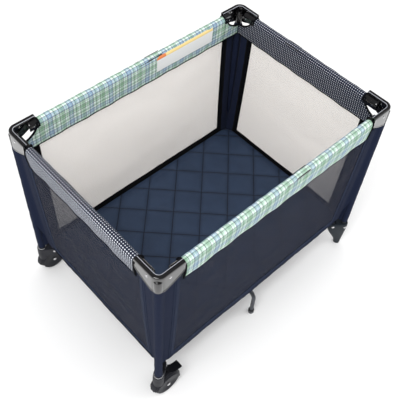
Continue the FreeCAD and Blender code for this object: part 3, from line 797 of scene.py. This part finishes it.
def sideWall(side):
    half = sides[side]["half"]
    reach, window = half - wallGap, half - wall["window"]
    stops = steps(-reach, -window, 3)[:-1] + steps(-window, window, round(window / 0.008))
    stops += steps(window, reach, 3)[1:]
    levels = steps(wall["hem"], wall["sill"], 6)[:-1] + steps(wall["sill"], wall["lintel"], 44)
    levels += [wall["top"]]
    grid = [[onWall(side, s, z) for s in stops] for z in levels]

    def solidCloth(i, j):
        inWindow = abs((stops[j] + stops[j + 1]) / 2) < window
        return not (inWindow and wall["sill"] < (levels[i] + levels[i + 1]) / 2 < wall["lintel"])

    shape = Shape()
    shape.net(grid, lambda i, j: (stops[j], levels[i]), keep=solidCloth)
    item = piece(f"wall_{side}", shape, ["wall", "wallInside"], "wall_fabric", [f"side_panel_{side}"], 60)
    thickened(faceOut(item, outward(side)), wall["cloth"], 1)
    tall = wall["top"] - wall["hem"]
    cloth = 2 * reach * tall - 2 * window * (wall["lintel"] - wall["sill"])  # strips sewn to a frame
    2 * reach
    cloth / (2 * reach)
    foldWith(item, side)
    across = steps(-window - wall["netLap"], window + wall["netLap"], 60)
    up = steps(wall["sill"] - wall["netLap"], wall["lintel"] + wall["netLap"], 30)
    for name, (look, deep) in wall["nets"].items():
        shape = Shape()
        shape.net([[onWall(side, s, z, deep) for s in across] for z in up], lambda i, j: (across[j], up[i]))
        net = piece(f"net_{side}_{name}", shape, [look], "mesh_fabric", (), 60)
        2 * window
        up[-1] - up[0]
        foldWith(net, side)


def wallSeams(side):  # stitched ridges on the outer face: beside the corners and above the hem
    reach = sides[side]["half"] - wallGap
    shape = Shape()
    for s in [end * (reach - inward) for end in (-1, 1) for inward in wall["seams"]]:
        shape.tube([onWall(side, s, z, -0.0002) for z in steps(wall["hem"], wall["top"], 50)], 0.0009, 6)
    for z, radius in ((wall["hem"], 0.0016), (wall["hem"] + 0.014, 0.0007)):
        shape.tube([onWall(side, s, z, -0.0002) for s in steps(-reach, reach, 90)], radius, 6)
    return foldWith(piece(f"seams_{side}", shape, ["sleeve"], "wall_fabric", (), 60), side)


# Corner sleeves: a cloth tube round each leg and two flaps that join the walls

sleeve = {"radius": 0.0135, "inner": 0.0106, "low": 0.149, "top": 0.702, "flap": 0.0528, "flapTop": 0.690,
          "cloth": 0.002}


def flapInward(side, reach, z):  # from the tube's face onto the wall's line
    line = wallInward(side, z)
    rise = 1 - ease(reach, 0.006, 0.024)
    return line + (-sleeve["radius"] + 0.001 - line) * rise * ease(z, 0.20, 0.30)


def sleeveFlap(shape, side, end):
    half = sides[side]["half"]
    reaches, levels = steps(0.004, sleeve["flap"], 10), steps(wall["hem"], sleeve["flapTop"], 50)
    layers = [[[atSide(side, end * (half - r), flapInward(side, r, z) + deep, z) for r in reaches]
               for z in levels] for deep in (0, sleeve["cloth"])]
    shape.solid(doubled(*layers), lambda i, j: (reaches[min(j, 21 - j)], levels[i]))


def cornerSleeve(corner):
    shape = Shape()
    grid = []
    rows = steps(sleeve["low"], sleeve["top"], 60)
    rings = [(sleeve["radius"], z) for z in rows]
    rings = [(sleeve["inner"], rows[0])] + rings + [(sleeve["inner"], rows[-1])]
    for radius, z in rings + rings[:1]:
        ring = []
        for a in around(28):
            out = radius + ripple((math.cos(a) * 0.02, math.sin(a) * 0.02, z), 0.022, 0.0009)
            ring.append(atCorner(corner, out * math.cos(a), out * math.sin(a), z))
        grid.append(ring)
    shape.net(grid, lambda i, j: (j * 0.003, rings[i % len(rings)][1]), closed=True)
    for side in sides:
        for end in (-1, 1):
            if endCorner(side, end) == corner:
                sleeveFlap(shape, side, end)
    item = piece("sleeve_" + corner, shape, ["sleeve"], "sleeve_fabric", ["leg_sleeve_" + corner], 60)
    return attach(item, "leg_" + corner)


# Floor cloth, one quarter on each floor tube, and the mattress pad on it

floorCloth = {"halfLong": 0.456, "halfShort": 0.312, "seam": 0.0008, "level": 0.150, "thick": 0.002,
              "keep": 0.2}


def floorQuarter(corner):
    signX, signY = corners[corner]
    shape = Shape()
    across = steps(floorCloth["seam"], floorCloth["halfLong"], 30)
    up = steps(floorCloth["seam"], floorCloth["halfShort"], 20)
    top = floorCloth["level"] + floorCloth["thick"]
    shape.net([[Vector((signX * x, signY * y, top + ripple((x * signX, y * signY, 0), 0.06, 0.0008)))
                for x in across] for y in up], lambda i, j: (across[j], up[i]))
    item = piece("floor_cloth_" + corner, shape, ["floor"], "floor_fabric", ["floor_panel_" + corner], 60)
    thickened(faceOut(item, Vector((0, 0, 1))), floorCloth["thick"])
    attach(item, "base_" + corner)
    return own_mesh(item)


def quiltHeight(x, y):  # puffs that sink towards the stitched lines, with rumples
    swell = 1.0
    for way, name in ((x + y, "A"), (y - x, "B")):
        share = (way - pad["shift" + name]) / pad["pitch" + name]
        near = abs(share - round(share)) * pad["pitch" + name] / math.sqrt(2)
        swell *= 1 - math.exp(-near / pad["valley"])
    rumple = ripple((x, y, 2.0), 0.035, 0.0016) + ripple((x * 1.3, y * 0.7, 7.0), 0.014, 0.0007)
    return pad["puff"] * swell + rumple * (0.25 + 0.75 * swell)


def mattressPad():
    halfX, halfY = pad["halfLong"] - pad["edge"], pad["halfShort"] - pad["edge"]
    bend = pad["round"] - pad["edge"]

    def inside(x, y):  # keeps a point within the rounded outline
        overX, overY = abs(x) - (halfX - bend), abs(y) - (halfY - bend)
        if overX > 0 and overY > 0:
            far = math.hypot(overX, overY)
            reach = max(overX, overY)
            overX, overY = overX / far * reach, overY / far * reach
            return math.copysign(halfX - bend + overX, x), math.copysign(halfY - bend + overY, y)
        return x, y

    across, up = steps(-halfX, halfX, 124), steps(-halfY, halfY, 84)
    places = [[inside(x, y) for x in across] for y in up]
    crown = pad["top"] - pad["puff"]

    def lift(x, y):
        rim = min(halfX - abs(x), halfY - abs(y))
        return crown + quiltHeight(x, y) * ease(rim, -0.004, 0.03)

    shape = Shape()
    shape.net([[Vector((x, y, lift(x, y))) for x, y in row] for row in places],
              lambda i, j: places[i][j])
    rim = places[0][:-1] + [row[-1] for row in places[:-1]] + places[-1][:0:-1]
    rim += [row[0] for row in places[:0:-1]]
    deep = (crown - pad["low"]) / 2
    rings = []
    for angle in steps(0, math.pi, 10):
        ring = []
        for x, y in rim:
            centre = Vector((max(bend - halfX, min(halfX - bend, x)),
                             max(bend - halfY, min(halfY - bend, y))))
            out = (Vector((x, y)) - centre).normalized() * pad["edge"] * math.sin(angle) ** 0.7
            top = lift(x, y) if angle < 0.01 else crown
            ring.append(Vector((x + out.x, y + out.y, min(top, pad["low"] + deep + deep * math.cos(angle)))))
        rings.append(ring)
    shape.net(rings, lambda i, j: (rim[j % len(rim)][0], rim[j % len(rim)][1] + i * 0.004), closed=True)
    shape.faces.append([len(shape.points) - len(rim) + j for j in range(len(rim))])
    shape.coordinates.append(list(rim))
    shape.finishes.append(0)
    shape.tube(rings[5] + rings[5][:1], pad["piping"], 8, 1)
    item = piece("mattress_pad", shape, ["quilt", "piping"], "mattress_fabric", ["mattress"], 60)
    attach(item, "mattress")
    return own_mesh(item)


# Wheels, housings and feet

wheel = {"radius": wheelRadius, "wide": 0.018, "rim": 0.033, "hubRim": 0.012}
housing = {"fender": 0.056, "half": 0.019, "cheek": 0.036}
foot = {"tip": 0.0125, "top": 0.0185, "ear": 0.017, "tall": 0.136, "reach": 0.043, "slotHalf": 0.0084,
        "slotStart": 0.031, "slotLong": 0.06, "slotLow": 0.111, "slotTop": 0.2}


def casterWheel(end):
    sign = -1 if end == "front" else 1
    middle = Vector((wheelAt.x, sign * legY, wheelAt.z))
    shape = Shape()
    half, r = wheel["wide"] / 2, wheel["radius"]
    tread = [(wheel["rim"], -half + 0.001), (r - 0.004, -half), (r - 0.0012, -half + 0.0012),
             (r, -half + 0.004), (r, -0.001), (r - 0.0006, 0), (r, 0.001), (r, half - 0.004),
             (r - 0.0012, half - 0.0012), (r - 0.004, half), (wheel["rim"], half - 0.001)]
    shape.turned(middle, (0, 1, 0), tread, 64, 0)
    disc = [(0.004, -half + 0.0015), (wheel["hubRim"], -half + 0.0015),
            (wheel["hubRim"] + 0.001, -half + 0.0045), (wheel["rim"] - 0.003, -half + 0.0045),
            (wheel["rim"] - 0.001, -half + 0.0005), (wheel["rim"] + 0.0005, -half + 0.0005)]
    shape.turned(middle, (0, 1, 0), disc + [(radius, -height) for radius, height in reversed(disc)], 48, 1)
    for number in range(6):
        a = 2 * math.pi * number / 6 + 0.3
        run = Vector((math.cos(a), 0, math.sin(a)))
        for face in (-1, 1):
            level = Vector((0, face * (half - 0.0042), 0))
            shape.tube([middle + run * reach + level for reach in (0.011, 0.021, 0.031)], 0.0024, 8, 1)
    item = piece(f"caster_{end}", shape, ["rubber", "grey"], "wheel_plastic", [f"wheel_{end}_left"], 35)
    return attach(item, f"wheel_{end}")


def cutSlot(item, corner):  # leaves room for the floor tube's end between the ears
    inward = inwardOf(corner)
    near = atCorner(corner, 0, 0, 0) + inward * foot["slotStart"]
    far = near + inward * foot["slotLong"]
    side = Vector((-inward.y, inward.x, 0)) * foot["slotHalf"]
    outline = (near - side, far - side, far + side, near + side)
    block = Shape()
    block.solid([[place + Vector((0, 0, z)) for place in outline]
                 for z in (foot["slotLow"], foot["slotTop"])])
    tool = piece("slot_tool", block, ["foot"], "foot_plastic")
    carve = item.modifiers.new("slot", "BOOLEAN")
    carve.operation = "DIFFERENCE"
    carve.object = tool
    carve.solver = "EXACT"
    applied(item)
    bpy.data.objects.remove(tool)
    return item


def stadium(corner, near, far, reach, z, count=12):  # a round at the leg and one along the diagonal
    inward = inwardOf(corner)
    side = Vector((-inward.y, inward.x, 0))
    leg = atCorner(corner, 0, 0, z)
    ring = []
    for start, radius, along in ((math.pi / 2, near, 0), (-math.pi / 2, far, reach)):
        for a in steps(start, start + math.pi, count):
            ring.append(leg + inward * (along + math.cos(a) * radius) + side * math.sin(a) * radius)
    return ring


def plainFoot(corner):
    shape = Shape()
    grid = []
    for z in [0, 0.0015, 0.005] + steps(0.012, 0.130, 20) + [0.1335, 0.1355, foot["tall"]]:
        grow = ease(z, 0.0, 0.118)
        trim = 0.0015 * (z < 0.001) + 0.0008 * (z > 0.133) + 0.0012 * (z > 0.135)
        near = foot["tip"] + (foot["top"] - foot["tip"]) * grow - trim
        far = foot["tip"] - 0.001 + (foot["ear"] - foot["tip"] + 0.001) * grow - trim
        grid.append(stadium(corner, near, far, 0.002 + foot["reach"] * grow, z))
    shape.solid(grid)
    item = piece("foot_block_" + corner, shape, ["foot"], "foot_plastic", ["foot_" + corner], 40)
    softened(cutSlot(item, corner), 0.0009)
    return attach(item, "leg_" + corner)


def wheelHousing(end):
    corner, sign = end + "_left", -1 if end == "front" else 1
    middle = Vector((wheelAt.x, sign * legY, wheelAt.z))
    outer, deep = housing["half"], 0.0026
    ridges = [(outer, 0.0450), (outer, 0.0490), (0.0150, 0.0495), (0.0142, 0.0525), (0.0095, 0.0530),
              (0.0085, housing["fender"])]
    profile = [(side * y, r) for side, rows in ((-1, ridges), (1, ridges[::-1])) for y, r in rows]
    under = [(y * (outer - deep) / outer, r - deep) for y, r in profile[::-1]]
    shape = Shape()
    grid = []
    for angle in steps(-8, 176, 40):
        a = math.radians(angle)
        run = Vector((math.cos(a), 0, math.sin(a)))
        flare = 1 + 0.05 * ease(abs(angle - 84), 60, 92)
        grid.append([middle + run * r * flare + Vector((0, y * sign, 0)) for y, r in profile + under])
    shape.solid(grid)
    plate = [(0.0062, 0), (housing["cheek"] - 0.010, -0.0006), (housing["cheek"] - 0.0075, -0.0022),
             (0.0462, -0.0026), (0.0478, -0.0016), (0.0480, 0.0008), (0.0455, 0.0022), (0.006, 0.0022)]
    for face in (-1, 1):
        base = middle + Vector((0, face * (outer - 0.0020), 0))
        rows = [(r, -h if face > 0 else h) for r, h in plate]
        cheekGrid = []
        for radius, height in rows:
            ring = []
            for number in range(61):
                degrees = -90 + 360 * number / 60
                a = math.radians(degrees)
                drop = ease(abs(degrees - 90), 80, 135)
                reach = radius if radius < 0.03 else radius * (1 - 0.11 * drop)
                ring.append(base + Vector((math.cos(a) * reach, height, math.sin(a) * reach)))
            cheekGrid.append(ring)
        cheekGrid.append(cheekGrid[0])
        shape.net(cheekGrid)
        lip = [(math.radians(a), 0.0445 * (1 - 0.09 * ease(abs(a - 90), 80, 135)))
               for a in steps(-100, 12, 20)]
        lipLevel = Vector((0, -0.0022 if face < 0 else 0.0022, 0))
        shape.tube([base + lipLevel * 0.4 + Vector((math.cos(a) * r, 0, math.sin(a) * r)) for a, r in lip],
                   0.0022, 8, 2)
    body = [(0.0150, 0.070), (0.0185, 0.074), (0.0200, 0.090), (0.0196, 0.118), (0.0180, 0.128),
            (0.0178, 0.139), (0.0168, 0.141), (0.0140, 0.141), (0.0100, 0.139)]
    shape.turned(atCorner(corner, 0, 0, 0), (0, 0, 1), body, 40)
    collar = [(0.0140, 0.140), (0.0160, 0.1408), (0.0164, 0.1422), (0.0160, 0.1436), (0.0140, 0.144)]
    shape.turned(atCorner(corner, 0, 0, 0), (0, 0, 1), collar, 40, 1)
    item = piece("wheel_housing_shell_" + corner, shape, ["grey", "rivet", "rubber"], "wheel_plastic", (), 32)
    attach(item, "leg_" + corner)
    ears = Shape()
    rows = [(0.099, 0.0012), (0.100, 0)] + [(z, 0) for z in steps(0.104, 0.133, 3)]
    rows += [(0.1362, 0), (0.1378, 0.0014)]
    ears.solid([stadium(corner, foot["top"] - trim, foot["ear"] - trim, foot["reach"] - 0.002, z)
                for z, trim in rows])
    block = piece("floor_ears_" + corner, ears, ["grey"], "wheel_plastic", ["wheel_housing_" + corner], 40)
    softened(cutSlot(block, corner), 0.0008)
    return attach(block, "leg_" + corner)


# Tape: a tab that ties the floor cloth down to the foot, its tail out, and the pull strap on the hub

tab = {"path": ((-0.447, 0.318, 0.156), (-0.446, 0.322, 0.140), (-0.440, 0.328, 0.122),
                (-0.430, 0.333, 0.110), (-0.418, 0.336, 0.104), (-0.405, 0.337, 0.101),
                (-0.389, 0.337, 0.099)),
       "half": 0.0011, "wide": 14.0, "lean": (0.3, 0, 1), "flat": (0.031, 0.095)}
strap = {"half": 0.0010, "low": 0.001, "arch": 0.0022}


def webbingTab(end):
    sign = -1 if end == "front" else 1
    shape = Shape()
    path = [Vector((x, sign * y, z)) for x, y, z in tab["path"]]
    shape.tube(path, tab["half"], 10, 0, tab["wide"], Vector(tab["lean"]))
    item = piece(f"webbing_tab_{end}", shape, ["webbing"], "webbing", (), 60)
    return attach(item, f"leg_{end}_left")


def pullStrap():
    low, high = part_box("pull_strap")
    half, wide = (high.x - low.x) / 2, (high.y - low.y) / 2
    base = low.z + strap["low"]
    path = [Vector((x, 0, base + strap["arch"] * math.cos(x / half * math.pi / 2)))
            for x in steps(-half, half, 24)]
    shape = Shape()
    shape.tube(path, strap["half"], 12, 0, wide / strap["half"], Vector((0, 0, 1)))
    item = piece("pull_strap_webbing", shape, ["webbing"], "webbing", ["pull_strap"], 60)
    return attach(item, "hub")


# Blank label on the back rail

label = {"from": 0.072, "to": 0.330, "low": 0.690, "top": 0.752, "layers": (0.0011, 0.0018), "lean": 0.6,
         "flat": (0.258, 0.062)}


def blankLabel():
    across, up = steps(label["from"], label["to"], 40), steps(label["low"], label["top"], 12)
    layers = []
    for deep in label["layers"]:
        layer = []
        for z in up:
            face = min(apronInward(z), cover["round"]) - label["lean"] * max(0.0, z - railLevel - 0.002)
            layer.append([atSide("back", s, face + deep + ripple((s, z, 1.0), 0.03, 0.0006), z)
                          for s in across])
        layers.append(layer)
    shape = Shape()
    shape.solid(doubled(*layers), lambda i, j: (across[min(j, 81 - j)] - across[0], up[i] - up[0]))
    item = piece("blank_label", shape, ["label"], "label_fabric", (), 60)
    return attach(item, "rail_back_a")


for corner in corners:
    cornerCap(corner)
    pivotPins(corner)
    cornerSleeve(corner)
    floorQuarter(corner)
    if corner.endswith("right"):
        plainFoot(corner)
print("corners built")
for end in ("front", "back"):
    casterWheel(end)
    wheelHousing(end)
    webbingTab(end)
print("wheels built")
for side in sides:
    railCover(side)
    sideWall(side)
    wallSeams(side)
    for end in (-1, 1):
        gussetPiece(side, end)
print("rails and walls built")
mattressPad()
pullStrap()
blankLabel()
print("pad, strap and label built")


# Finishes of the frame's own nodes

nodeLooks = {"leg_tube": "leg", "base_tube": "tube", "support_leg": "tube", "hub_pins": "rivet",
             "hub": "latch", "rail": "tube"}
for name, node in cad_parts.items():
    if node.hide_render:
        continue
    look = next(value for key, value in nodeLooks.items() if name.startswith(key))
    if name.endswith("latch_housing"):
        look = "latch"
    if name.endswith("latch_button"):
        look = "button"
    node.data.materials.clear()
    node.data.materials.append(looks[look])
print("frame finishes set")


# Floor, light and camera

studio = {"floorSize": 9.0, "world": 1.0, "mirrored": 0.22, "aim": (0, 0, 0.3),
          "lights": {"key": ((-1.6, -0.6, 3.0), (1.0, 1.0), 38), "fill": ((1.8, -1.8, 2.2), (1.8, 1.2), 16)}}
view = {"sensor": 36, "lens": 58.36, "place": (-1.03021, -0.98492, 2.18925),
        "right": (0.73451, -0.67681, 0.04930), "up": (0.51424, 0.60255, 0.61032),
        "ahead": (0.44278, 0.42293, -0.79062)}


def studioFloor():
    recipe = Recipe("pale floor")
    grain = recipe.cloud(2.0, 2.0)
    base = recipe.mix(grain, tone(248, 248, 248), tone(252, 252, 252))
    surface = recipe.surface(base, 0.7, {"Specular IOR Level": 0.2})
    spots = steps(-studio["floorSize"] / 2, studio["floorSize"] / 2, 4)
    shape = Shape()
    shape.net([[Vector((x, y, 0)) for x in spots] for y in spots])
    mesh = bpy.data.meshes.new("studio_floor")
    mesh.from_pydata(shape.points, [], shape.faces)
    mesh.materials.append(recipe.finish(surface))
    item = bpy.data.objects.new("studio_floor", mesh)
    bpy.context.scene.collection.objects.link(item)


def softLight(name, place, size, power):
    data = bpy.data.lights.new(name, "AREA")
    data.shape = "RECTANGLE"
    data.size, data.size_y = size
    data.energy = power
    item = bpy.data.objects.new(name, data)
    item.location = place
    item.rotation_euler = (Vector(studio["aim"]) - Vector(place)).to_track_quat("-Z", "Y").to_euler()
    bpy.context.scene.collection.objects.link(item)


def studioWorld():
    world = bpy.data.worlds.new("studio")
    bpy.context.scene.world = world
    world.use_nodes = True
    nodes = world.node_tree.nodes
    back = nodes["Background"]
    back.inputs["Color"].default_value = (1, 1, 1, 1)
    path = nodes.new("ShaderNodeLightPath")
    level = nodes.new("ShaderNodeMapRange")
    level.inputs["To Min"].default_value = studio["world"]
    level.inputs["To Max"].default_value = studio["mirrored"]
    world.node_tree.links.new(path.outputs["Is Glossy Ray"], level.inputs["Value"])
    world.node_tree.links.new(level.outputs["Result"], back.inputs["Strength"])


def camera():
    data = bpy.data.cameras.new("camera")
    data.sensor_width = view["sensor"]
    data.lens = view["lens"]
    item = bpy.data.objects.new("camera", data)
    item.location = view["place"]
    axes = (Vector(view["right"]), Vector(view["up"]), -Vector(view["ahead"]))
    item.rotation_euler = Matrix(axes).transposed().to_euler()
    bpy.context.scene.collection.objects.link(item)
    bpy.context.scene.camera = item


studioFloor()
studioWorld()
for name, (place, size, power) in studio["lights"].items():
    softLight(name, place, size, power)
camera()
bpy.context.scene.view_settings.view_transform = "Standard"
print("studio set")
